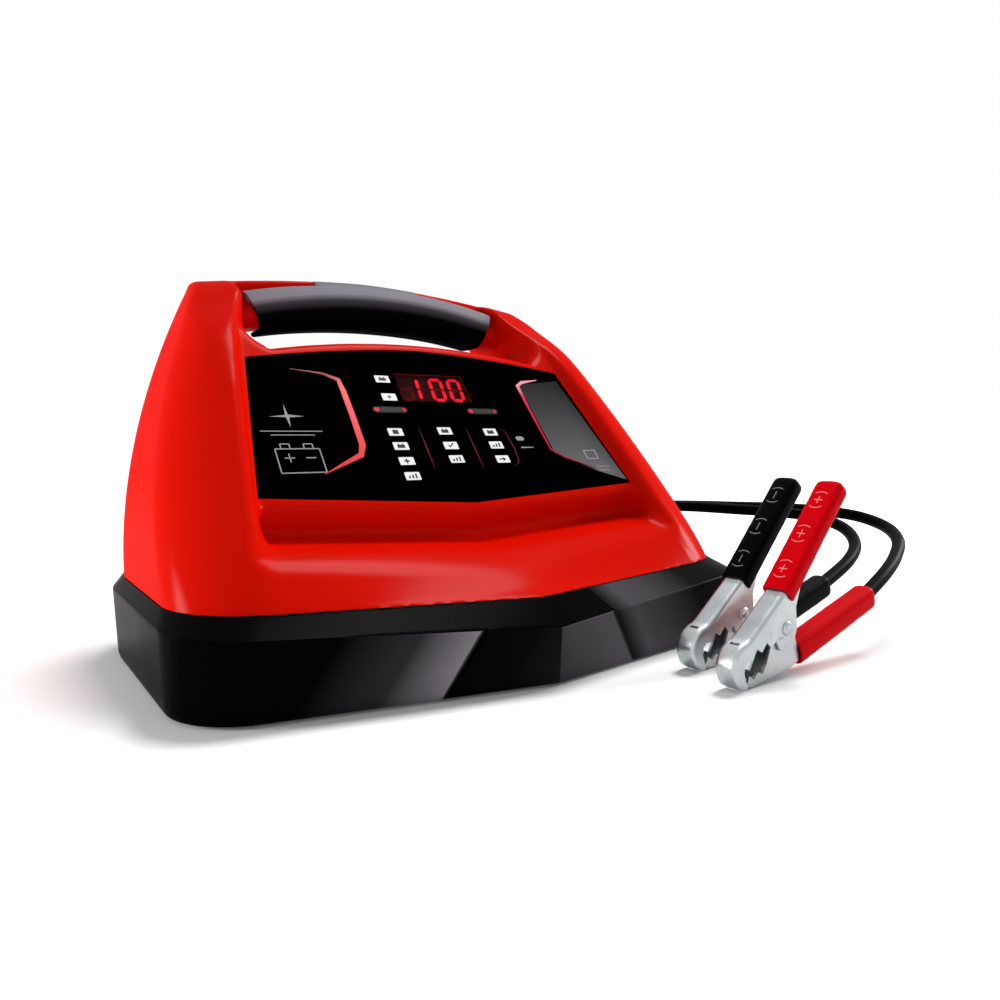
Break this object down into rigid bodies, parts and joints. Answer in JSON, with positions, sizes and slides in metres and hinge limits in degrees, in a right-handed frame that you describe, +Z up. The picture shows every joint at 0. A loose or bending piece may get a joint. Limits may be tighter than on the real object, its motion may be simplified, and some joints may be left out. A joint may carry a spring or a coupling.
{
  "type": "car battery charger",
  "caption": "Portable car battery charger with a carrying handle, a sloped display panel, push buttons, a cooling fan and two spring clamps on short heavy leads.",
  "frame": {"origin": "on the floor under the middle of the charger's body, leads and clamps left out", "axes": "+X to the charger's own left side seen by its user in front of the panel as right, +Y from the panel to the rear, +Z up"},
  "size_m": [0.4477, 0.2739, 0.208],
  "materials": {
    "tray_black": "satin",
    "shell_red": "gloss",
    "grip_rubber": "satin",
    "foot_rubber": "matte",
    "panel_gloss": "high gloss",
    "accent_red": "gloss",
    "window_tint": "tinted",
    "module_black": "matte",
    "digit_red": "lit",
    "lens_white": "frosted",
    "button_black": "satin",
    "switch_grey": "matte",
    "board_green": "solder mask",
    "screw_steel": "zinc plated",
    "core_steel": "varnished laminations",
    "winding_copper": "enamelled wire",
    "sink_aluminium": "extruded",
    "chip_black": "moulded",
    "capacitor_sleeve": "shrink sleeve",
    "relay_case": "moulded",
    "fuse_amber": "clear moulded",
    "fan_black": "matte",
    "gland_rubber": "matte",
    "lead_rubber": "satin",
    "clamp_steel": "zinc plated",
    "spring_steel": "bright",
    "sleeve_red": "dipped vinyl",
    "sleeve_black": "dipped vinyl",
    "crimp_copper": "tinned copper"
  },
  "bodies": {
    "charger": {"base_tray": "tray_black", "rubber_feet": "foot_rubber", "front_shell": "shell_red", "rear_shell": "shell_red", "handle_grip": "grip_rubber", "panel_sheet": "panel_gloss", "panel_accents": "accent_red", "display_window": "window_tint", "display_module": "module_black", "display_digits": "digit_red", "indicator_lenses": "lens_white", "button_switches": "switch_grey", "control_board": "board_green", "control_board_screws": "screw_steel", "power_board": "board_green", "power_board_screws": "screw_steel", "transformer_core": "core_steel", "transformer_winding": "winding_copper", "transformer_screws": "screw_steel", "heat_sink": "sink_aluminium", "rectifiers": "chip_black", "capacitors": "capacitor_sleeve", "relay": "relay_case", "fuse_link": "fuse_amber", "fan_frame": "fan_black", "fan_screws": "screw_steel", "case_screws": "screw_steel", "lead_gland": "gland_rubber", "mains_gland": "gland_rubber", "lead_red": "lead_rubber", "lead_black": "lead_rubber", "red_clamp_lower_jaw": "clamp_steel", "red_clamp_rivet": "clamp_steel", "red_clamp_spring": "spring_steel", "red_clamp_lower_sleeve": "sleeve_red", "red_clamp_crimp": "crimp_copper", "black_clamp_lower_jaw": "clamp_steel", "black_clamp_rivet": "clamp_steel", "black_clamp_spring": "spring_steel", "black_clamp_lower_sleeve": "sleeve_black", "black_clamp_crimp": "crimp_copper"},
    "red_clamp_upper": {"red_clamp_upper_jaw": "clamp_steel", "red_clamp_upper_sleeve": "sleeve_red"},
    "black_clamp_upper": {"black_clamp_upper_jaw": "clamp_steel", "black_clamp_upper_sleeve": "sleeve_black"},
    "button_left": {"button_left": "button_black"},
    "button_right": {"button_right": "button_black"},
    "fan_rotor": {"fan_rotor": "fan_black"}
  },
  "joints": [
    {"name": "red_clamp_hinge", "type": "hinge", "parent": "charger", "child": "red_clamp_upper", "pos_m": [0.09245, -0.15437, 0.02399], "axis": [-0.0785, 0.9969, 0], "range_deg": [0, 25], "stiffness_Nm_per_rad": 0.5, "springref_deg": -11.46, "deforming": ["red_clamp_spring"]},
    {"name": "black_clamp_hinge", "type": "hinge", "parent": "charger", "child": "black_clamp_upper", "pos_m": [0.10145, -0.12237, 0.02399], "axis": [-0.0785, 0.9969, 0], "range_deg": [0, 25], "stiffness_Nm_per_rad": 0.5, "springref_deg": -11.46, "deforming": ["black_clamp_spring"]},
    {"name": "button_left_press", "type": "slide", "parent": "charger", "child": "button_left", "axis": [0, 0.7615, -0.6481], "range_m": [0, 0.0008], "stiffness_N_per_m": 400, "springref_m": -0.0005},
    {"name": "button_right_press", "type": "slide", "parent": "charger", "child": "button_right", "axis": [0, 0.7615, -0.6481], "range_m": [0, 0.0008], "stiffness_N_per_m": 400, "springref_m": -0.0005},
    {"name": "fan_spin", "type": "hinge", "parent": "charger", "child": "fan_rotor", "pos_m": [0.06, 0.0922, 0.09], "axis": [0, -1, 0], "continuous": true}
  ]
}
